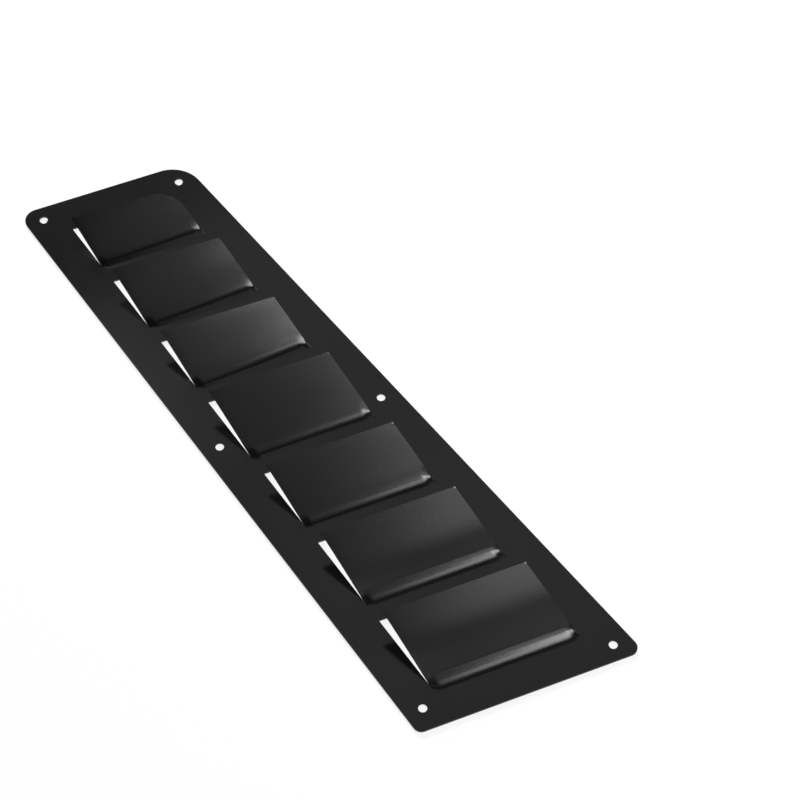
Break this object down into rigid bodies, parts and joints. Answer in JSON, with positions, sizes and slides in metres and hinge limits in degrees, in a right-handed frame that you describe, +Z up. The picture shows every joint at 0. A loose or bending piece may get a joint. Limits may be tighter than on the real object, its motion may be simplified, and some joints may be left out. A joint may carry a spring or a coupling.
{
  "type": "car bonnet vent",
  "caption": "Long tapered sheet-metal bonnet vent panel with slanted ends, raised louvre flaps that open towards the narrow end, and screw holes along both long edges.",
  "frame": {"origin": "midway between the two middle screw holes, on the panel's underside", "axes": "+X along the pairs of screw holes, +Y towards the narrow end with the panel's long axis leaning 17.3 degrees from it, +Z up out of the bonnet"},
  "size_m": [0.2392, 0.404, 0.0231],
  "materials": {
    "black_coat": "satin black powder coat on pressed sheet metal"
  },
  "bodies": {
    "root": {"louvre_panel": "black_coat"}
  },
  "joints": []
}
